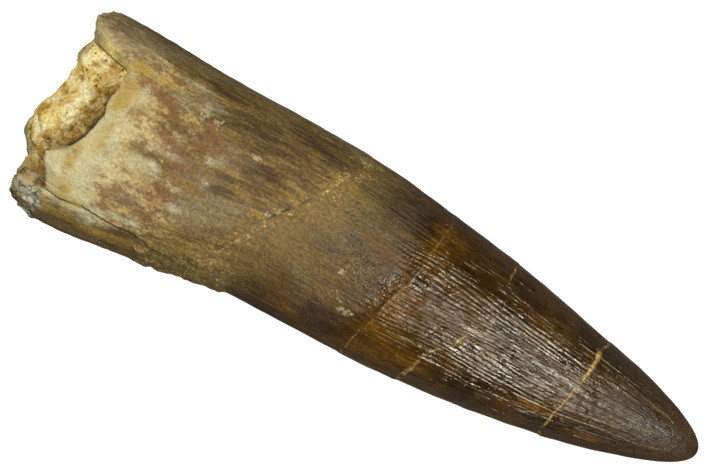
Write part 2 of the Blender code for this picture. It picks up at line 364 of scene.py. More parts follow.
# %% Ridges
GOLDEN_ANGLE = np.pi * (3 - np.sqrt(5))
RIDGE_HEIGHT = 0.09
RIDGE_ROUNDNESS = 2.4
RIDGE_RISE = (15.0, 29.0)
RIDGE_LEAD = 8.0
RIDGE_ENDS = (38.0, 50.0)
RIDGE_FADE = 5.0
LOWEST_SHARE, SHARE_SPREAD = 0.45, 0.75
RUBBED_FLAT = 0.75
RUBBED_ARC, RUBBED_STATIONS = (58, 132, 18), (14.0, 27.3, 2.5)
CALMER_AT_SIDE = 0.45
TOP_ARC = (62, 120, 12)
BEAD_SIZE, BEAD_STRETCH = 0.6, 0.55
SWELL_PER_MM, SWELL_PER_RIDGE = 0.35, 1.37
WRINKLE_HEIGHT = 0.036

ridge = np.floor(turns)
from_crest = np.abs(2 * (turns - ridge) - 1)
crest = 1 - from_crest**RIDGE_ROUNDNESS
own_end = RIDGE_ENDS[0] + (RIDGE_ENDS[1] - RIDGE_ENDS[0]) * np.mod(ridge * GOLDEN_ANGLE, 1.0)
own_height = LOWEST_SHARE + SHARE_SPREAD * np.mod(ridge * GOLDEN_ANGLE * 2, 1.0)
at_side = 1 - within(degrees, *TOP_ARC)
strength = own_height * ramp(station + RIDGE_LEAD * at_side, *RIDGE_RISE)
strength *= ramp(station, own_end, own_end - RIDGE_FADE) * (1 - CALMER_AT_SIDE * at_side)
strength *= 1 - RUBBED_FLAT * within(degrees, *RUBBED_ARC) * within(station, *RUBBED_STATIONS)
beads = 0.8 + 0.6 * swell(bar * (BEAD_STRETCH, 1, 1), BEAD_SIZE, seed=12)
on_ridge = np.stack(
    np.broadcast_arrays(SWELL_PER_MM * station, SWELL_PER_RIDGE * ridge, 0.0), axis=-1
)
beads = np.clip(beads + 0.8 * swell(on_ridge, 1.0, seed=14), 0.05, 1.6)
ridges = RIDGE_HEIGHT * strength * beads * (crest - 0.5)
own_half_width = section(station)[1]
to_tip = own_half_width / BAR_RADIUS
wrinkles = WRINKLE_HEIGHT * to_tip * roughened(0.5, 0.9, 2, 13) * ramp(station, 20.0, 30.0)
print("highest ridge, mm:", round(float(ridges.max()), 3))

# %% Old breaks
STEP_SOFTNESS = 0.12
FILLER_RISE, GAP_DEPTH = 0.30, 0.24  # in widths of the seam
FAR = 99.0
steps = np.zeros(station.shape)
to_break = np.full(station.shape, FAR)
on_seam = np.zeros((3, *station.shape))
past_breaks = {}
for number, (name, (rise, table)) in enumerate(BREAKS.items()):
    past = past_breaks[name] = past_line(station, angle, table, 21 + number)
    steps += rise * ramp(past, -STEP_SOFTNESS, STEP_SOFTNESS)
    nearer = np.abs(past) < to_break
    to_break = np.where(nearer, np.abs(past), to_break)
    columns = np.stack([around(angle, table, column) for column in (2, 3, 4)])
    on_seam = np.where(nearer, columns, on_seam)
filler, gap, seam_width = on_seam
past_neck = past_breaks["past_neck"]
seam_relief = (FILLER_RISE * filler - GAP_DEPTH * gap) * seam_width
steps += seam_relief * ramp(to_break, 2 * seam_width, 0.0)

# %% [markdown]
# ## Relief of the root
#
# The root has no ridges, but it has suffered more. A long crack runs down its lower side, with the
# strip below it sunk. The corner under that strip has lost its outer layer and carries chalky
# flakes. A crust of cemented sand clings to the lower edge at the neck.

# %% Cracks, flakes and crust of the root
LONG_CRACK = np.array([
    # station, degrees
    (3.5, 136.0), (5.0, 136.0), (6.5, 133.5), (8.3, 137.0), (10.6, 139.0), (13.0, 145.0),
    (15.0, 150.0),
])
CRACK_RADIUS = 7.0
CRACK_STATIONS = (3.2, 13.5, 1.5)
CRACK_WANDER = STRIP_DEPTH = 0.10
CRUST_STATIONS, CRUST_ARC = (11.6, 17.4, 0.8), (142.0, 178.0, 6.0)
CRUST_HEIGHT = 0.35
CRUST_LUMP = 1.9
CRUST_GRAIN, CRUST_ROUGHNESS = 0.42, 0.10
FLAKED_ARC = (138.5, 205.0, 1.2)
FLAKED_REACH = 4.0
FLAKE_SIZE, FLAKE_RISE, FLAKE_GAP = 0.95, 0.34, 0.14


def lumps(u, v, wave):
    """Soft lumps from -1 to 1: crossed waves, each turned by the golden angle from the last."""
    total = 0.0
    for turn in range(4):
        heading = turn * GOLDEN_ANGLE
        path = u * np.cos(heading) + v * np.sin(heading)
        total = total + np.sin(2 * np.pi * path * (1 + 0.3 * turn) / wave + 1.7 * turn * turn)
    return total / 4


crack_angle = np.interp(station, LONG_CRACK[:, 0], LONG_CRACK[:, 1])
crack_wander = CRACK_WANDER * rough(bar * (1, 0, 0), 0.8, 3, seed=31)
past_crack = np.radians(degrees - crack_angle) * CRACK_RADIUS + crack_wander
crack_length = within(station, *CRACK_STATIONS)
below_crack = ramp(past_crack, -0.05, 0.15) * ramp(degrees, 200, 160)
sunk_strip = STRIP_DEPTH * below_crack * crack_length

crust = within(station + 0.6 * swell(bar, 1.2, seed=33), *CRUST_STATIONS)
crust = crust * within(degrees + 6 * swell(bar, 1.1, seed=34), *CRUST_ARC)
crust_lumps = 0.6 + 0.4 * lumps(station, angle * own_half_width, CRUST_LUMP)
on_oval = oval(station, angle)
crust_grain = roughened(1, 0.8, 3, 36) - pebbles(on_oval, CRUST_GRAIN, seed=35)[0]
crust_relief = crust * (CRUST_HEIGHT * crust_lumps + CRUST_ROUGHNESS * crust_grain)

flaked = within(degrees + 4 * swell(bar, 0.9, seed=38), *FLAKED_ARC)
flaked *= ramp(station + 0.5 * swell(bar, 0.8, seed=39), FLAKED_REACH, FLAKED_REACH - 0.3)
_, flake_lead, flake_height = pebbles(on_oval * (0.8, 0.8, 1), FLAKE_SIZE, seed=37)
flakes = flaked * (FLAKE_RISE * (flake_height - 0.6) - FLAKE_GAP * ramp(flake_lead, 0.14, 0.0))
print("crust covers", round(100 * float(crust.mean()), 1), "% of the skin")

# %% The whole relief, and the skin
LIP_REACH, LIP_DROP, LIP_ROUGHNESS = 0.9, 0.16, 0.10
UNEVENNESS = PITTING = 0.035

lip = ramp(station - edge, LIP_REACH, 0.0) * (LIP_DROP + LIP_ROUGHNESS * roughened(1, 0.7, 3, 41))
uneven = UNEVENNESS * to_tip * roughened(0.45, 2.4, 3, 42)
pitted = (1 - ramp(past_neck, -2.0, 1.0)) * PITTING * roughened(0.7, 0.5, 3, 43)
relief = ridges + wrinkles + steps + uneven + pitted + crust_relief + flakes
relief = relief - sunk_strip - lip
skin = oval(station, angle, relief)
skin[..., 2] = np.maximum(skin[..., 2], 0.0)

# %% [markdown]
# ## The broken wall and the hollow
#
# The wall of the root is about a millimetre and a half thick. It broke across its layers, so its
# face is rough and slopes back under its outer edge. Behind it the hollow narrows to a round end.

# %% Wall and hollow
WALL = 1.5
WALL_UNDERCUT = 0.4
WALL_ROUGHNESS = 0.20
WALL_BAR_RADIUS = 6.0
WALL_ROWS = 5
HOLLOW_END = 13.0
HOLLOW_ROWS = 3


def hollow(share_of_depth, angle, start, clearance=0.0):
    """Inner wall of the hollow from its mouth at start to its round end, less a clearance."""
    end = HOLLOW_END - 2 * clearance
    reach = start + (end - start) * share_of_depth
    narrowing = np.sqrt(np.clip(1 - (reach / end) ** 4, 0.0, 1.0))
    return oval(reach, angle, -WALL - clearance, narrowing)


inner_edge = ragged_line(angle[0], BROKEN_EDGE, EDGE_WAVE, 52) + WALL_UNDERCUT
outer, mouth = skin[0], hollow(0.0, angle[0], inner_edge)
across = np.linspace(0.0, 1.0, WALL_ROWS + 2)[1:-1, None, None]
wall = outer + (mouth - outer) * across
wall_bar = unrolled(wall[..., 0] * 3, angle[0], WALL_BAR_RADIUS)
wall_relief = rough(wall_bar * (1 - 0.2 * across), 0.7, 3, seed=51)
wall[..., 0] += WALL_ROUGHNESS * wall_relief * np.sin(np.pi * across[..., 0])
depths = np.sin(np.linspace(np.pi / 2, 0.0, HOLLOW_ROWS + 1))[1:]
inside = np.stack([hollow(share, angle[0], inner_edge) for share in depths])
rings = np.concatenate([inside, wall[::-1], skin])
print("rings of the tooth:", len(rings))

# %% [markdown]
# ## What the tooth's colours depend on
#
# Where the tooth is bleached, rusty, ochre or grey depends on the place, so each stain is a set of
# soft patches with ragged edges, stored on the points. The finer mottling and the fibres are left to
# the material, which can be as fine as it likes. The stains on the hidden side follow the same rules.

# %% Stains
BLEACH_END = np.array([
    # degrees, station
    (0, 3.0), (18, 6.0), (30, 9.0), (42, 9.8), (52, 11.2), (65, 12.0), (78, 11.5), (90, 12.0),
    (105, 13.0), (122, 13.2), (135, 12.0), (150, 6.5), (180, 4.5), (220, 8.5), (270, 11.0), (320, 8.0),
    (345, 2.5),
])
PALE_SPOTS = (
    # station, degrees, reach along, reach across
    (5.4, 118, 1.6, 1.8), (5.2, 129, 1.6, 1.2), (6.2, 97, 0.8, 1.0), (8.9, 98, 1.5, 0.6),
    (9.6, 42, 1.2, 0.5), (11.4, 48, 0.8, 0.3), (7.4, 138, 2.2, 0.8), (12.0, 112, 0.7, 0.4),
    (5.6, 84, 0.9, 1.6), (3.6, 120, 0.9, 1.6), (9.6, 131, 1.4, 0.4), (13.2, 79, 1.0, 0.5),
    (10.6, 86, 0.9, 0.3), (6.9, 63, 0.9, 0.9), (6.0, 210, 2.0, 2.5), (8.0, 262, 2.5, 2.0),
    (5.0, 305, 2.0, 2.0),
)
RUST_SPOTS = (
    (11.8, 68, 1.8, 1.3), (11.2, 88, 1.4, 1.0), (11.0, 110, 1.2, 1.2), (10.9, 120, 1.4, 0.8),
    (9.2, 78, 1.2, 0.9), (9.0, 66, 1.2, 0.6), (7.2, 58, 1.8, 0.9), (9.5, 45, 1.8, 0.7),
    (10.0, 200, 2.5, 2.5), (12.0, 250, 2.0, 2.5), (8.5, 290, 1.5, 2.0), (13.0, 320, 2.0, 2.0),
)
OCHRE_SPOTS = (
    (4.9, 127, 0.8, 0.8), (5.6, 134, 1.5, 0.4), (5.5, 66, 0.9, 2.4), (5.6, 88, 0.5, 1.6),
    (4.4, 110, 0.5, 1.4), (7.6, 50, 1.2, 0.4), (5.8, 52, 1.2, 0.8), (19.0, 142, 1.2, 1.0),
    (22.5, 55, 1.6, 1.0), (3.0, 150, 1.0, 0.6), (5.0, 148, 1.8, 0.6), (9.5, 152, 3.0, 0.7),
    (4.5, 200, 1.5, 1.5), (3.5, 260, 1.2, 2.5), (5.5, 310, 1.5, 1.5), (18.0, 230, 1.5, 2.0),
)
GREY_SPOTS = (
    (14.6, 104, 2.4, 1.3), (13.0, 112, 1.6, 1.0), (13.5, 92, 1.4, 0.8), (2.5, 10, 3.2, 1.2),
    (6.2, 26, 2.4, 0.9), (9.5, 20, 3.0, 0.6), (22.5, 18, 2.2, 1.0), (9.5, 54, 1.4, 0.8),
    (15.0, 240, 2.5, 2.5), (14.0, 8, 5.0, 1.2), (21.0, 10, 5.0, 1.0), (28.0, 10, 5.0, 0.9),
    (6.0, 163, 3.0, 0.7), (5.4, 34, 1.8, 0.9),
)
RESIDUE_SPOTS = (
    (24.3, 103, 0.4, 0.25), (24.6, 115, 0.6, 0.22), (25.1, 119, 0.4, 0.2), (25.9, 124, 0.8, 0.3),
    (18.4, 90, 0.45, 0.2), (18.0, 94, 0.4, 0.2), (15.5, 66, 0.5, 0.2), (21.5, 47, 0.4, 0.25),
    (10.9, 56, 0.5, 0.8), (12.2, 58, 0.4, 0.5), (13.3, 92, 0.6, 0.2), (11.5, 119, 0.4, 0.4),
    (30.6, 92, 0.3, 0.3), (22.3, 27, 0.9, 0.4), (16.8, 280, 0.8, 0.6), (24.0, 250, 0.6, 0.8),
)
PLUM_SPOTS = (
    (3.4, 33, 2.8, 2.3), (10.8, 122, 1.3, 0.8), (11.4, 106, 1.2, 0.9), (9.2, 118, 1.3, 0.5),
    (12.0, 88, 1.8, 1.0), (13.5, 72, 2.0, 1.0), (10.0, 82, 1.2, 0.7), (14.5, 118, 1.8, 0.6),
    (6.4, 112, 0.8, 0.4), (25.2, 94, 2.4, 2.2), (9.0, 250, 2.5, 2.5), (12.0, 300, 2.0, 2.0),
)
DARK_SPOTS = (
    (15.5, 46, 4.0, 1.6), (19.0, 38, 4.0, 1.5), (16.9, 74, 1.8, 0.9), (14.6, 92, 1.5, 0.6),
    (25.2, 40, 3.2, 1.6), (24.6, 146, 2.8, 1.2), (11.6, 33, 2.2, 0.6), (46.5, 128, 4.0, 1.2),
    (46.5, 48, 4.0, 1.2), (31.0, 40, 6.0, 2.0), (37.0, 38, 6.0, 2.0), (35.0, 142, 5.0, 1.6),
    (42.0, 134, 5.0, 1.8), (43.0, 44, 5.0, 1.8), (48.5, 90, 3.0, 4.0), (20.0, 300, 7.0, 3.0),
    (33.0, 260, 7.0, 4.0), (46.0, 270, 5.0, 6.0),
)
AMBER_SPOTS = (
    (28.6, 148, 3.0, 1.3), (28.7, 126, 1.5, 1.5), (28.9, 100, 1.3, 2.0), (31.0, 136, 2.4, 1.0),
    (40.3, 126, 1.6, 1.0), (44.5, 138, 1.4, 0.8), (19.0, 48, 2.5, 0.9), (29.6, 58, 1.4, 1.4),
    (29.8, 40, 1.4, 1.0), (22.0, 148, 2.0, 1.0), (29.0, 210, 5.0, 2.0), (41.0, 300, 2.5, 2.0),
)
ragged = 0.9 * roughened(0.8, 1.8, 4, 61)
ragged_fine = 0.6 * roughened(0.6, 0.8, 3, 62)


def stain(table, low=0.2, high=0.9, wild=0.22):
    """How strongly each point is stained: the strongest of several soft round patches, roughened and
    read between two levels."""
    patches = []
    for at, turn, length, width in table:
        across = np.angle(np.exp(1j * (angle - np.radians(turn)))) * BAR_RADIUS
        patches.append(np.exp(-(((station - at) / length) ** 2) - (across / width) ** 2))
    return ramp(np.max(patches, axis=0) + wild * (ragged + ragged_fine), low, high)


BLEACH_FADE = (1.6, -8.6)
HORN_ARC = (16.0, 40.0)  # the wall's upper corner, faded by what uses it
PAINTED_HIGHLIGHT_ARC = (66, 136, 6)
FLANK_ARC = (60, 122, 16)

edge_of_bleach = around(angle, BLEACH_END)
fade_from, fade_to = (edge_of_bleach + past for past in BLEACH_FADE)
bleach = ramp(station + ragged, fade_from, fade_to)
flank = (1 - within(degrees + 9 * ragged, *FLANK_ARC)) * ramp(past_neck, 0.0, 7.0)
# Painted highlight along the broken rim, on the upper arc and the wall's upper corner.
painted_highlight_arc = np.maximum(within(degrees, *PAINTED_HIGHLIGHT_ARC), within(degrees, *HORN_ARC, 6))
rim_painted_highlight = ramp(station - edge + 0.2 * ragged_fine, 0.3, 0.1) * painted_highlight_arc
after_neck = ramp(past_neck, 0.0, 0.15) * ramp(past_neck + 0.8 * ragged, 4.5, 0.8)
enamel = ramp(past_neck + 0.5 * ragged_fine, -1.4, 1.6)
print("bleached share:", round(float(bleach.mean()), 2))

# %% Fine cracks at the tip
TIP_CRACKS = (
    # each a chain of station and degrees
    ((42.3, 123), (43.3, 122), (45.0, 121), (46.4, 122), (47.8, 125), (48.8, 123), (50.2, 119)),
    ((47.2, 101), (48.3, 97), (48.8, 100), (49.2, 110), (50.3, 122)),
    ((43.2, 68), (44.1, 67), (45.0, 66), (45.9, 69)),
    ((44.9, 50), (46.0, 57), (47.0, 58), (48.1, 58), (48.9, 57), (49.8, 61)),
    ((49.0, 76), (50.2, 82)),
    ((34.0, 92), (34.3, 99), (34.1, 106)),
    ((43.0, 230), (45.0, 236), (47.0, 229), (49.0, 233)),
    ((46.0, 290), (48.0, 297), (50.0, 290)),
)


def from_chain(points, chain):
    """Distance from each point to a chain of straight runs between points."""
    nearest = np.full(points.shape[:-1], FAR)
    for start, end in zip(chain[:-1], chain[1:]):
        run = end - start
        along = np.clip(((points - start) @ run) / (run @ run), 0.0, 1.0)
        nearest = np.minimum(nearest, np.linalg.norm(points - start - along[..., None] * run, axis=-1))
    return nearest


shaken = on_oval + 0.05 * np.stack([rough(bar, 0.5, 2, seed=71 + axis) for axis in range(3)], -1)
hairline = np.full(station.shape, FAR)
for chain in TIP_CRACKS:
    at, turn = np.array(chain).T
    hairline = np.minimum(hairline, from_chain(shaken, oval(at, np.radians(turn))))
print("points on a hairline:", int((hairline < 0.08).sum()))

# %% The tooth's mesh and its marks
CAKED_ARC = (43.0, 62.0)


def on_all_rings(values, on_wall=0.0, in_hollow=0.0):
    """Carries a value of the skin's grid onto the rings of the wall and the hollow as well."""
    shape = (COLUMNS,) + values.shape[2:]
    wall_rows = np.broadcast_to(on_wall, (WALL_ROWS,) + shape)
    hollow_rows = np.broadcast_to(in_hollow, (HOLLOW_ROWS,) + shape)
    return np.concatenate([hollow_rows, wall_rows, values])


plum_on_wall = 0.4 + 0.6 * within(degrees[0], *HORN_ARC, 4.0)
tooth_values = {
    # each mark on the skin, then on the wall and in the hollow, where it isn't 0 there
    "along": (bar, bar[0], bar[0]),
    # painted highlight on the ridge tops, and painted shade in the grooves
    "crest": (crest * strength * beads,),
    "groove_painted_shade": (ramp(from_crest, 0.45, 0.95) * strength,),
    "filler": (filler,),
    "gap": (gap,),
    "seam_width": (seam_width, 0.1, 0.1),
    "past_crack": (past_crack + FAR * (1 - crack_length), FAR, FAR),
    "hairline": (hairline, FAR, FAR),
    "bleach": (bleach, 0.75, 1.0),
    "pale": (stain(PALE_SPOTS, wild=0.4), 0.2),
    "rust": (stain(RUST_SPOTS), 0.3, 0.3),
    "ochre": (stain(OCHRE_SPOTS), 0.6, 1.0),
    "grey": (stain(GREY_SPOTS),),
    "residue": (stain(RESIDUE_SPOTS, 0.1, 1.0, 0.35),),
    "plum": (stain(PLUM_SPOTS, 0.1), plum_on_wall),
    "dark": (stain(DARK_SPOTS, 0.1, 1.0),),
    "amber": (stain(AMBER_SPOTS, 0.1, 1.1),),
    "caked": (np.zeros(station.shape), within(degrees[0], *CAKED_ARC, 4.0)),
    # painted highlight along the rim on the skin; the whole wall face on the wall
    "lip": (rim_painted_highlight, 1.0),
    "after_neck": (after_neck,),
    "flank": (flank,),
    "enamel": (enamel,),
    "crust": (crust,),
    "chalk": (flaked, flaked[0]),
    **{name: (past, -FAR, -FAR) for name, past in past_breaks.items()},
}
marks = {name: on_all_rings(*values) for name, values in tooth_values.items()}
floor_of_hollow = hollow(1.0, np.array([0.0]), 0.0)
tip = oval(np.array([LENGTH]), np.array([0.0]))
poles = np.concatenate([floor_of_hollow, tip])
tooth = closed_skin("tooth_surface", rings - ORIGIN, poles - ORIGIN, marks)
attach(tooth, "root")
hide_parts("tooth")

# %% [markdown]
# ## The sediment in the hollow
#
# Sand and lime mud filled the hollow and set hard. Where the wall broke away, the filling stands out
# as a lumpy dome, cream where it is clean, rusty at its far side, and gold with loose grains under the
# edge of the wall, darkened there by painted shade, with painted glints and a painted shadow along the
# edge. It is a disc of rings: the share from the middle to the edge and the angle give a point on the
# dome, and layers of lumps, pits and single grains raise and lower it.

# %% Dome of sediment
PLUG_COLUMNS = 380
PLUG_RINGS = 132
PLUG_SIDE_RINGS = 6
PLUG_BULGE = 2.5
PLUG_LUMP = 3.1
PLUG_LUMP_HEIGHT = 0.32
SEAT_BELOW_EDGE = 1.5
CRUMB_ARC = (14.0, 56.0, 10.0)
SNUG = 0.02
PLUG_FRONT = np.array([
    # y across the tooth, station of the plug's front at mid height
    (-6.5, 2.4), (-5.0, 2.0), (-3.7, 1.5), (-2.9, 0.6), (-2.3, 0.5), (-1.0, 0.7), (0.0, 1.0),
    (0.8, 1.4), (2.1, 1.6), (2.9, 1.8), (3.7, 1.2), (4.4, 1.2), (5.1, 1.5), (6.5, 2.0),
])
plug_angle = np.arange(PLUG_COLUMNS) * 2 * np.pi / PLUG_COLUMNS
seat = around(plug_angle, BROKEN_EDGE) + WALL_UNDERCUT
crumbs = within(np.degrees(plug_angle), *CRUMB_ARC)
seat = seat + SEAT_BELOW_EDGE * ramp(np.sin(plug_angle), -0.4, 0.4) * (1 - 0.7 * crumbs)
plug_rim = hollow(0.0, plug_angle, seat, SNUG)
plug_middle = oval(seat, plug_angle, 0.0, 0.0)
share = np.sqrt(np.linspace(0.0, 1.0, PLUG_RINGS + 1))[1:, None]
dome = plug_middle + share[..., None] * (plug_rim - plug_middle)
front = np.interp(dome[..., 1], PLUG_FRONT[:, 0], PLUG_FRONT[:, 1])
front = front + PLUG_LUMP_HEIGHT * lumps(dome[..., 1], dome[..., 2], PLUG_LUMP) * (1 - share**6)
dome[..., 0] = front + (seat - front) * share**PLUG_BULGE

# %% Lumps, pits and grains of the sediment
SHELTERED_ARC = (64.0, 120.0, 16.0)
GRAIN = 0.19
GRAIN_RISE, GRAIN_SCATTER = 0.12, 0.05
LUMP_RISE, PIT_DEPTH = 0.22, 0.18

lumpy = rough(dome, 2.2, 4, seed=81)
pits = ramp(swell(dome, 0.7, seed=82), 0.35, 0.8)
grain_edge, grain_lead, grain_shade = pebbles(dome, GRAIN, seed=83)
sheltered = within(np.degrees(plug_angle) + 8 * lumpy, *SHELTERED_ARC)
seen_at = np.arccos(np.clip((dome[..., 1] - SECTIONS[0, 1]) / SECTIONS[0, 2], -1.0, 1.0))
past_edge = dome[..., 0] - around(seen_at, BROKEN_EDGE)
upper = ramp(np.sin(plug_angle), 0.0, 0.3) * (1 - crumbs)
# More loose grains under the wall's edge; the material paints shade and glints there as well.
grains_and_painted_shade_under_edge = ramp(past_edge + 0.35 * lumpy, -1.7, -0.7) * sheltered
shadow = ramp(past_edge + 0.1 * lumpy, -0.40, 0.0) * upper
loose = 1.3 * rough(dome, 1.3, 3, seed=84) - 0.25 + 0.9 * ramp(past_edge, -2.6, -1.0) * upper
loose = ramp(loose + 0.4 * grains_and_painted_shade_under_edge, -0.05, 0.40)
grain_relief = loose * (GRAIN_RISE * (0.6 - grain_edge) + GRAIN_SCATTER * (grain_shade - 0.5))
sand = LUMP_RISE * lumpy - PIT_DEPTH * pits + grain_relief
swing_in = np.gradient(dome, axis=0)
swing_round = np.roll(dome, -1, axis=1) - np.roll(dome, 1, axis=1)
outward = np.cross(swing_round, swing_in)
outward = outward / np.maximum(np.linalg.norm(outward, axis=-1, keepdims=True), 1e-9)
outward = outward * -np.sign(outward[..., 0].mean())
dome = dome + outward * (sand * (1 - ramp(share, 0.93, 1.0)))[..., None]
behind = np.sin(np.linspace(0.0, np.pi / 2, PLUG_SIDE_RINGS + 1))[1:-1]
back = np.stack([hollow(deep, plug_angle, seat, SNUG) for deep in behind])
plug_rings = np.concatenate([dome, back])
print("sediment front spans stations", np.round([dome[..., 0].min(), dome[..., 0].max()], 2))

# %% The sediment's mesh and its marks
dome_values = {
    "grain": grain_shade,
    # painted shade in the crevices between grains
    "between": ramp(grain_lead, 0.25, 0.02),
    "pit": pits,
    "grains_and_painted_shade_under_edge": grains_and_painted_shade_under_edge,
    "shadow": shadow,
    "loose": loose,
    "rusty": ramp(dome[..., 1] + 0.5 * lumpy, -3.6, -4.4),
}
plug_marks = {
    name: np.concatenate([values, np.broadcast_to(values[-1], back.shape[:2])])
    for name, values in dome_values.items()
}
plug_poles = np.stack([dome[0].mean(axis=0), hollow(1.0, np.array([0.0]), 0.0, SNUG)[0]])
plug = closed_skin("sediment_surface", plug_rings - ORIGIN, plug_poles - ORIGIN, plug_marks)
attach(plug, "root")
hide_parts("sediment_fill")

# %% [markdown]
# ## Small helpers for materials
#
# A material is a chain of nodes, and even a short sum needs several of them. So an output is wrapped
# as a Flow, on which the signs +, -, * and / add Math nodes to its own tree. Colours are written as
# they look on a screen, from 0 to 255, and turned into the linear values that Blender mixes.

# %% Nodes that read like sums
def colour(red, green, blue):
    """A screen colour as linear red, green, blue and 1: each part is raised to the screen's curve."""
    parts = np.array([red, green, blue]) / 255
    linear = np.where(parts <= 0.04045, parts / 12.92, ((parts + 0.055) / 1.055) ** 2.4)
    return (*linear.tolist(), 1.0)


class Flow:
    """What comes out of a node. A sign between two flows, or a flow and a number, is a Math node."""

    def __init__(self, socket):
        self.socket = socket
        self.tree = socket.id_data

    def other(self, name):
        """Another output of the same node."""
        return Flow(self.socket.node.outputs[name])

    def __abs__(self):
        return calculate("ABSOLUTE", self)


def teach(sign, operation):
    """Makes a sign between two flows a Math node. Python asks the right-hand side, by the sign's name
    with an r, where the left-hand side is a plain number."""
    setattr(Flow, f"__{sign}__", lambda left, right: calculate(operation, left, right))
    setattr(Flow, f"__r{sign}__", lambda right, left: calculate(operation, left, right))


teach("add", "ADD")
teach("sub", "SUBTRACT")
teach("mul", "MULTIPLY")
teach("truediv", "DIVIDE")


def put(value, socket):
    """Gives a socket a number or a colour, or joins a flow to it."""
    if isinstance(value, Flow):
        value.tree.links.new(value.socket, socket)
    else:
        socket.default_value = value


def add(tree, kind, output, settings=(), **inputs):
    """Adds a node of a kind, with its settings and its named inputs, and gives its named output."""
    node = tree.nodes.new("ShaderNode" + kind)
    for name, value in dict(settings).items():
        setattr(node, name, value)
    for name, value in inputs.items():
        put(value, node.inputs[name.replace("_", " ")])
    return Flow(node.outputs[output])


def calculate(operation, first, second=0.0):
    """One Math node, such as ADD or MAXIMUM, of two flows or of a flow and a number."""
    tree = first.tree if isinstance(first, Flow) else second.tree
    result = add(tree, "Math", "Value", {"operation": operation})
    put(first, result.socket.node.inputs[0])
    put(second, result.socket.node.inputs[1])
    return result


def step(value, low, high):
    """Rises smoothly from 0 to 1 as a value goes from low to high; falls if high is below low."""
    return add(
        value.tree, "MapRange", "Result", {"interpolation_type": "SMOOTHSTEP"}, Value=value,
        From_Min=min(low, high), From_Max=max(low, high),
        To_Min=float(low > high), To_Max=float(low < high),
    )


def blend(share, first, second):
    """One colour laid over another by a share from 0 to 1. A Mix node has a set of sockets for each
    kind of value; those for colours are inputs 6 and 7 and output 2."""
    mixed = add(share.tree, "Mix", 2, {"data_type": "RGBA"})
    put(share, mixed.socket.node.inputs[0])
    put(first, mixed.socket.node.inputs[6])
    put(second, mixed.socket.node.inputs[7])
    return mixed


def scaled(vector, scale):
    """A place or a colour times a number."""
    return add(vector.tree, "VectorMath", 0, {"operation": "SCALE"}, Vector=vector, Scale=scale)


def mark(tree, name):
    """A value stored on the points of the mesh."""
    return add(tree, "Attribute", "Fac", {"attribute_name": name})


# %% Layers of colour
def washed(surface, washes):
    """Lays colours over a surface one after the other, each by a pattern times a share."""
    for pattern, share, wash in washes:
        surface = blend(pattern * share, surface, wash)
    return surface


def stained(surface, stains):
    """Lays stains over a surface one after the other. Each has the name of its mark, the share of it
    that always shows, the share that shows only where a pattern has it, the pattern and a colour."""
    for name, always, varied, pattern, stain_colour in stains:
        surface = blend(mark(pattern.tree, name) * (always + varied * pattern), surface, stain_colour)
    return surface


# %% [markdown]
# ## Effects that the materials share
#
# Mottling, grains, grit and seams come back again and again, each time with other sizes and colours.
# So each is a node group that is built once and gives only masks, shades and heights.

# %% A start for each group
def group(name, numbers, outputs):
    """Starts a node group with a Place and named numbers. Gives the group, what flows in by name, and
    the sockets of its named outputs."""
    tree = bpy.data.node_groups.new(name, "ShaderNodeTree")
    tree.interface.new_socket("Place", in_out="INPUT", socket_type="NodeSocketVector")
    for label, value in numbers.items():
        socket = tree.interface.new_socket(label, in_out="INPUT", socket_type="NodeSocketFloat")
        socket.default_value = value
    for label in outputs:
        tree.interface.new_socket(label, in_out="OUTPUT", socket_type="NodeSocketFloat")
    given = tree.nodes.new("NodeGroupInput").outputs
    flows = {label: Flow(given[label]) for label in ("Place", *numbers)}
    return tree, flows, tree.nodes.new("NodeGroupOutput").inputs


def use(shared, place, **numbers):
    """Places a shared group where a place flows, with its own numbers, and gives its flows by name."""
    node = place.tree.nodes.new("ShaderNodeGroup")
    node.node_tree = shared
    for name, value in {"Place": place, **numbers}.items():
        put(value, node.inputs[name])
    return {socket.name: Flow(socket) for socket in node.outputs}


# %% Mottling
mottling, given, results = group(
    "mottling", {"Size": 1.0, "Detail": 4.0, "Low": 0.4, "High": 0.6}, ["Mask"]
)
cloud = add(
    mottling, "TexNoise", "Fac", Vector=given["Place"], Scale=1.0 / given["Size"],
    Detail=given["Detail"], Roughness=0.62,
)
spread = step(cloud, 0.0, 1.0)
put(given["Low"], spread.socket.node.inputs["From Min"])
put(given["High"], spread.socket.node.inputs["From Max"])
put(spread, results["Mask"])

# %% Grains
grains, given, results = group("grains", {"Size": 0.2, "Share": 0.5}, ["Mask", "Shade", "Height"])
cell = add(
    grains, "TexVoronoi", "Distance", Vector=given["Place"], Scale=1.0 / given["Size"],
    Randomness=1.0,
)
chance = add(grains, "SeparateColor", "Red", Color=cell.other("Color"))
chosen = calculate("LESS_THAN", chance, given["Share"])
put(chosen * step(cell, 0.55, 0.30), results["Mask"])
put(chance.other("Green"), results["Shade"])
put(1.0 - cell, results["Height"])

# %% Grit
grit, given, results = group("grit", {"Size": 0.13, "Amount": 0.3}, ["Light", "Height"])
dust = add(
    grit, "TexNoise", "Fac", Vector=given["Place"], Scale=1.0 / given["Size"], Detail=2.0,
    Roughness=0.7,
)
centred = dust - 0.5
put(1.0 + 4.0 * (centred * given["Amount"]), results["Light"])
put(centred, results["Height"])

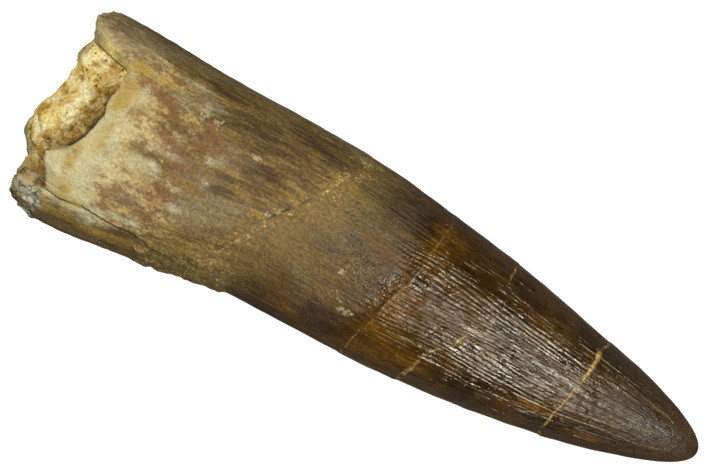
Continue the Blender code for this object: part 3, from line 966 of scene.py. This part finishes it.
# %% Seams
seam, given, results = group(
    "seam", {"Distance": FAR, "Width": 0.1, "Wander": 0.05, "Gaps": 0.0}, ["Line"]
)
shake = add(seam, "TexNoise", "Fac", Vector=given["Place"], Scale=4.0, Detail=3.0)
moved = abs(given["Distance"] + (shake - 0.5) * given["Wander"])
whole = add(seam, "TexNoise", "Fac", Vector=given["Place"], Scale=0.9, Detail=3.0)
kept = step(whole - given["Gaps"], -0.04, 0.06)
put(step(moved / given["Width"], 1.0, 0.35) * kept, results["Line"])
print("shared groups:", [shared.name for shared in bpy.data.node_groups])

# %% [markdown]
# ## The tooth's material
#
# One material covers crown and root, because on the real tooth one passes into the other without a
# seam. The root is a stack of stains over bone. The crown is dark brown, with painted highlight on the
# ridge tops and painted shade in the grooves between them. Fine fibres run the length of both: noise
# read along the tooth's own stations, squeezed lengthwise.

# %% A material to fill
def material(name):
    """A new material, its node tree and the inputs of its Principled shader."""
    made = bpy.data.materials.new(name)
    made.use_nodes = True
    return made, made.node_tree, made.node_tree.nodes["Principled BSDF"].inputs


def in_millimetres(tree):
    """Object coordinates in millimetres."""
    return scaled(add(tree, "TexCoord", "Object"), 1 / MM)


def stretched(place, share):
    """A place whose x is read by a share only, so that a pattern on it stretches along the tooth."""
    return add(place.tree, "Mapping", "Vector", Vector=place, Scale=(share, 1.0, 1.0))


def mottled(place, size, detail, low, high):
    """Mottling of a size in millimetres and a detail, read between two levels of its noise."""
    return use(mottling, place, Size=size, Detail=detail, Low=low, High=high)["Mask"]


tooth_material, tree, shader = material("fossil_tooth")
place = in_millimetres(tree)
along = add(tree, "Attribute", "Vector", {"attribute_name": "along"})

# %% Fibres and mottles of the tooth
streaked = stretched(place, 0.55)
fibre = mottled(stretched(along, 0.16), 0.40, 5.0, 0.42, 0.58)
fibre_fine = mottled(stretched(along, 0.09), 0.20, 2.0, 0.43, 0.58)
bands = mottled(stretched(along, 0.16), 1.3, 3.0, 0.43, 0.57)
broad = mottled(streaked, 2.0, 6.0, 0.44, 0.56)
medium = mottled(streaked, 0.8, 6.0, 0.43, 0.58)
fine = mottled(place, 0.27, 3.0, 0.40, 0.60)
speckled = fine * 0.35 + medium * 0.65
flecks = fine * medium
specks = use(grains, place, Size=0.18, Share=0.3)
dusty = use(grit, place, Size=0.21, Amount=0.55 - mark(tree, "bleach") * 0.35)
winding = add(tree, "TexNoise", "Fac", Vector=streaked, Scale=0.9, Detail=4.0, Roughness=0.6)
vein = step(abs(winding - 0.5), 0.030, 0.004)

# %% Root colours
CREAM = colour(178, 162, 120)
WHITISH = colour(188, 186, 158)
TAN = colour(166, 143, 92)
MAUVE = colour(120, 92, 60)
RUST = colour(110, 74, 36)
PLUM = colour(112, 86, 62)
BROWN = colour(110, 84, 36)
FIBRE = colour(60, 40, 8)
LIGHT_FIBRE = colour(142, 118, 62)
OCHRE = colour(156, 126, 44)
STONE_GREY = colour(128, 118, 94)
DEEP_BROWN = colour(58, 36, 2)
RESIDUE = colour(170, 160, 132)
CAKE = colour(222, 200, 130)

between_fibres = (1.0 - fibre) * fibre_fine
brown = washed(BROWN, (
    (fibre, 0.5, FIBRE), (bands, 0.5, DEEP_BROWN), (between_fibres, 0.45, LIGHT_FIBRE),
    (flecks, 0.25, LIGHT_FIBRE),
))
marbled = blend(speckled, TAN, MAUVE)
bleached = mark(tree, "bleach") + broad * 0.25 - speckled * 0.34
root = blend(step(bleached, 0.10, 0.55), brown, marbled)
root = blend(step(bleached, 0.52, 1.0), root, CREAM)
root = stained(root, (
    ("plum", 0.35, 0.60, speckled, PLUM), ("pale", 0.25, 0.55, medium, WHITISH),
))
veined = vein * step(mark(tree, "bleach"), 0.05, 0.35) * broad
root = blend(veined * 0.45, root, WHITISH)
root = stained(root, (
    ("grey", 0.20, 0.45, fibre, STONE_GREY), ("rust", 0.20, 0.65, speckled, RUST),
    ("ochre", 0.35, 0.50, broad, OCHRE), ("dark", 0.45, 0.50, fibre, DEEP_BROWN),
))
# The lip mark: painted highlight along the broken rim on the skin; the wall's broken face is paled all
# over as well.
root = blend(mark(tree, "lip") * 0.6, root, CREAM)
caked = washed(CAKE, ((medium, 0.5, CREAM), (specks["Mask"], 0.7, OCHRE), (flecks, 0.25, FIBRE)))
root = blend(mark(tree, "caked"), root, caked)

# %% Crown colours
WORN = colour(94, 73, 40)
WORN_LIGHT = colour(140, 120, 80)
OLIVE = colour(112, 92, 38)
CROWN = colour(60, 36, 2)
CROWN_DARK = colour(28, 14, 0)
RIDGE_PAINTED_HIGHLIGHT = colour(88, 60, 20)
AMBER = colour(104, 68, 0)

past_worn = step(mark(tree, "past_low"), -3.0, 0.0)
darker = step(mark(tree, "past_low"), -6.0, -1.0)
worn = washed(WORN, (
    (specks["Mask"], 0.50, WORN_LIGHT), (fibre_fine, 0.50, FIBRE), (broad, 0.30, OLIVE),
))
worn = stained(worn, (("plum", 0.2, 0.5, speckled, PLUM),))
worn = washed(worn, ((darker, 0.48, FIBRE), (flecks, 0.55, FIBRE), (medium, 0.22, WORN_LIGHT)))
enamelled = blend(calculate("MAXIMUM", past_worn, mark(tree, "flank")), worn, CROWN)
before_tip = step(mark(tree, "past_tip"), 3.0, -2.0)
streaks = (fibre * 0.35 + bands * 0.4) * before_tip
enamelled = washed(enamelled, ((streaks, 1.0, CROWN_DARK), (broad * before_tip, 0.30, AMBER)))
# Painted shade in the grooves and painted highlight on the ridge tops.
enamelled = stained(enamelled, (
    ("dark", 0.50, 0.35, fibre, CROWN_DARK), ("amber", 0.50, 0.40, medium, AMBER),
    ("groove_painted_shade", 0.70, 0.30, medium, CROWN_DARK), ("crest", 0.10, 0.40, medium, RIDGE_PAINTED_HIGHLIGHT),
    ("after_neck", 0.10, 0.30, fibre, LIGHT_FIBRE),
))
surface = blend(mark(tree, "enamel"), root, enamelled)
residue = step(mark(tree, "residue") * (fine + 0.3), 0.25, 0.9)
surface = blend(residue * 0.6, surface, RESIDUE)

# %% Breaks and cracks
SEAM_GOLD = colour(134, 106, 50)
SEAM_PALE = colour(180, 158, 108)
CRACK_DARK = colour(36, 24, 8)
CRACK_OLIVE = colour(66, 54, 20)

nearest_break = FAR
for name in BREAKS:
    nearest_break = calculate("MINIMUM", nearest_break, abs(mark(tree, name)))


def seamed(distance, width, wander, gaps):
    """A broken line where a distance is less than a width, with a wander and a share of gaps."""
    return use(seam, place, Distance=distance, Width=width, Wander=wander, Gaps=gaps)["Line"]


breaks = seamed(nearest_break, mark(tree, "seam_width"), 0.20, 0.40)
hair = seamed(mark(tree, "hairline"), 0.06, 0.1, 0.36)
split = seamed(mark(tree, "past_crack"), 0.12, 0.2, 0.42)

near_neck = step(abs(mark(tree, "past_neck")), 1.5, 0.1) * medium
surface = blend(near_neck * (0.15 + fine * 0.55), surface, SEAM_GOLD)
surface = blend(near_neck * (specks["Mask"] * 0.7), surface, SEAM_PALE)
open_gap = step(breaks * mark(tree, "gap"), 0.1, 0.6)
surface = blend(open_gap, surface, CRACK_DARK)
after_low = mark(tree, "past_low")
# Painted highlight on the raised edge just past the low break, where a gap opens.
step_painted_highlight = step(after_low, 0.16, 0.22) * step(after_low, 0.40, 0.26)
step_painted_highlight = step_painted_highlight * (mark(tree, "gap") * fine)
surface = blend(step_painted_highlight * 0.35, surface, SEAM_PALE)
filled = breaks * mark(tree, "filler") * (0.5 + medium * 0.5)
surface = blend(filled, surface, blend(fine, SEAM_PALE, SEAM_GOLD))
surface = washed(surface, ((hair, 0.6, SEAM_GOLD), (split, 0.7, CRACK_OLIVE)))

# %% Crust and chalky flakes
CRUST = colour(118, 98, 52)
CHALK = colour(164, 162, 146)

crusty = washed(CRUST, ((specks["Mask"], 0.8, SEAM_PALE), (fine, 0.6, FIBRE)))
surface = blend(mark(tree, "crust") * 0.85, surface, crusty)
bent = add(tree, "TexNoise", "Color", Vector=place, Scale=1.3, Detail=3.0)
bent = add(tree, "VectorMath", "Vector", {"operation": "ADD"}, Vector=bent)
put(place, bent.socket.node.inputs[1])
plates = add(
    tree, "TexVoronoi", "Distance", {"feature": "DISTANCE_TO_EDGE"}, Vector=bent, Scale=1.5
)
crackle = step(plates, 0.05, 0.01)
chalky = blend(crackle * 0.8, blend(broad, CHALK, BROWN), CRACK_OLIVE)
surface = blend(mark(tree, "chalk"), surface, chalky)

# %% Gloss and fine relief of the tooth
ENAMEL_IOR, SPECULAR_LEVEL = 1.63, 0.42
BARE_ROUGHNESS, POLISH = 0.67, 0.53

put(ENAMEL_IOR, shader["IOR"])
put(SPECULAR_LEVEL, shader["Specular IOR Level"])
pebbly = mark(tree, "plum") * mark(tree, "enamel")
sparkling = calculate("MAXIMUM", pebbly * 0.85, 0.2)
polished = mark(tree, "enamel") * calculate("MAXIMUM", past_worn, sparkling)
polished = polished * (1.0 - step(mark(tree, "past_tip"), 1.0, 3.8) * 0.40)
dull = BARE_ROUGHNESS - polished * POLISH + medium * 0.12 + broad * 0.08
dull = dull + mark(tree, "crust") * 0.3 + mark(tree, "chalk") * 0.3
put(calculate("MINIMUM", dull, 1.0), shader["Roughness"])


def dress(piece, made, inputs, surface, grit_light, heights):
    """Gives a piece its material: the colour times the light of its grit, and a bump that is the sum
    of several patterns, each times its height in millimetres."""
    put(scaled(surface, grit_light), inputs["Base Color"])
    relief = sum(pattern * height for pattern, height in heights)
    put(add(surface.tree, "Bump", "Normal", Height=relief, Distance=MM, Strength=1.0), inputs["Normal"])
    piece.data.materials.append(made)


leathery = add(
    tree, "TexNoise", "Fac", Vector=stretched(place, 0.6), Scale=2.2, Detail=1.5, Roughness=0.5
)
gritty = dusty["Height"] * (1.6 - past_worn + pebbly * 1.5)
dress(tooth, tooth_material, shader, surface, dusty["Light"], (
    (leathery * mark(tree, "enamel"), 0.08), (gritty, 0.050), (fibre_fine, -0.012),
    (specks["Height"], 0.012), (specks["Height"] * pebbly, 0.05), (filled, 0.05),
    (open_gap, -0.07), (split, -0.08), (hair, 0.02), (crackle * mark(tree, "chalk"), -0.08),
    (flecks * mark(tree, "caked"), -0.05),
))

# %% [markdown]
# ## The sediment's material
#
# Clean lumps are cream. Loose grains are rusty or golden. Painted shade darkens the pits between them
# and the sand under the edge of the wall, where the light hardly reaches, and painted glints light
# single grains there.

# %% Sediment colours
SAND_CREAM = colour(230, 208, 140)
SAND_SHELL = colour(238, 230, 190)
SAND_GOLD = colour(212, 166, 42)
SAND_RUST = colour(150, 104, 12)
SAND_STAIN = colour(190, 146, 44)
SAND_PAINTED_SHADE = colour(112, 82, 4)
SAND_PAINTED_SHADOW = colour(60, 40, 8)
SAND_ROUGHNESS = 0.75

sediment_material, tree, shader = material("sandy_sediment")
place = in_millimetres(tree)
broad = mottled(place, 1.6, 5.0, 0.42, 0.60)
medium = mottled(place, 0.5, 4.0, 0.44, 0.62)
blotched = mottled(place, 1.2, 5.0, 0.48, 0.60)
dusty = use(grit, place, Size=0.2, Amount=0.35)
specks = use(grains, place, Size=0.17, Share=0.5)
holes = use(grains, place, Size=0.22, Share=0.05)["Mask"]

matrix = blend(broad, SAND_CREAM, SAND_SHELL)
matrix = washed(matrix, ((blotched, 0.65, SAND_STAIN), (medium, 0.25, SAND_GOLD)))
golden = blend(mark(tree, "grain"), SAND_GOLD, SAND_RUST)
# Painted shade in the crevices between the loose grains.
golden = blend(mark(tree, "between") * 0.7, golden, SAND_PAINTED_SHADOW)
sandy = stained(matrix, (("loose", 0.55, 0.45, medium, golden),))
# The holes are darkened with painted shade.
sandy = washed(sandy, (
    (specks["Mask"], 0.12, SAND_GOLD), (mark(tree, "pit"), 0.6, SAND_RUST),
    (holes, 0.8, SAND_PAINTED_SHADOW), (mark(tree, "rusty"), 0.7, SAND_RUST),
))
# Painted shade under the wall's edge, painted glints on single grains there, and a painted shadow along
# the edge.
sandy = stained(sandy, (("grains_and_painted_shade_under_edge", 0.40, 0.40, medium, SAND_PAINTED_SHADE),))
painted_glint = mark(tree, "grains_and_painted_shade_under_edge") * (specks["Mask"] * specks["Shade"])
sandy = washed(sandy, ((painted_glint, 0.7, SAND_GOLD), (mark(tree, "shadow"), 0.9, SAND_PAINTED_SHADOW)))
put(SAND_ROUGHNESS, shader["Roughness"])
dress(plug, sediment_material, shader, sandy, dusty["Light"], (
    (specks["Height"], 0.05), (dusty["Height"], 0.09), (holes, -0.08),
))

# %% [markdown]
# ## Surface, light and camera
#
# The tooth was photographed from straight above with its tip to the lower right, on white. In such a
# studio the white paper hangs far behind the object, so it throws no light on the object's sides.
# Here the paper lies right under the tooth and glows for the camera alone. A long, narrow lamp on the
# tip's side gives the enamel its gloss, and a square one lights the broken end. Both are a little
# warm. A long lens keeps the view almost free of perspective.

# %% Pale surface
FLOOR_HALF = 1.5
PAPER_GREY = (0.14, 0.14, 0.14, 1.0)
PAPER_GLOW = (0.93, 0.93, 0.93, 1.0)
PAPER_ROUGHNESS = 0.9
floor_mesh = bpy.data.meshes.new("floor")
turned = ((-1, -1), (1, -1), (1, 1), (-1, 1))
corners = [(x * FLOOR_HALF, y * FLOOR_HALF, 0) for x, y in turned]
floor_mesh.from_pydata(corners, [], [(0, 1, 2, 3)])
floor = placed("floor", floor_mesh)
floor_material, tree, shader = material("pale_paper")
put(PAPER_GREY, shader["Base Color"])
put(PAPER_ROUGHNESS, shader["Roughness"])
put(0.0, shader["Specular IOR Level"])
put(PAPER_GLOW, shader["Emission Color"])
put(add(tree, "LightPath", "Is Camera Ray"), shader["Emission Strength"])
floor_mesh.materials.append(floor_material)

# %% Soft light
WARM_WHITE = (1.0, 0.98, 0.82)
WORLD_STRENGTH = 0.04
LAMPS = {
    # direction from the tooth, distance, length, width, power
    "key": ((0.80, -0.14, 1.0), 0.6, 0.34, 0.08, 4.1),
    "fill": ((-0.85, 0.30, 0.85), 0.7, 0.22, 0.22, 4.1),
}


def soft_light(name, direction, distance, length, width, power):
    """An area light of a length and a width at a distance in a direction from the tooth, facing it."""
    light = bpy.data.lights.new(name, "AREA")
    light.shape = "RECTANGLE"
    light.size, light.size_y = width, length
    light.energy = power
    light.color = WARM_WHITE
    lamp = placed(name, light)
    heading = np.array(direction) / np.linalg.norm(direction)
    lamp.location = heading * distance
    lamp.rotation_euler = lamp.location.to_track_quat("Z", "Y").to_euler()


for name, lamp in LAMPS.items():
    soft_light(name, *lamp)
world = bpy.data.worlds.new("studio")
bpy.context.scene.world = world
world.use_nodes = True
background = world.node_tree.nodes["Background"].inputs
put((*WARM_WHITE, 1.0), background["Color"])
put(WORLD_STRENGTH, background["Strength"])
bpy.context.scene.view_settings.view_transform = "Standard"

# %% Camera
PICTURE_WIDTH = 48.82
TOOTH_TURN = 28.6
AIM_STATION, AIM_Y, AIM_Z = 23.95, 1.81, 6.0
CAMERA_DISTANCE = 900.0
NEAREST_SEEN = 10.0
SENSOR = 36.0
view = bpy.data.cameras.new("camera")
view.sensor_width = SENSOR
view.lens = SENSOR * CAMERA_DISTANCE / PICTURE_WIDTH
view.clip_start = NEAREST_SEEN * MM
camera = placed("camera", view)
aim = (np.array([AIM_STATION, AIM_Y, AIM_Z]) - ORIGIN) * MM
camera.location = aim + np.array([0.0, 0.0, CAMERA_DISTANCE * MM])
camera.rotation_euler = (0.0, 0.0, math.radians(TOOTH_TURN))
bpy.context.scene.camera = camera
print("lens, mm:", round(view.lens, 1))
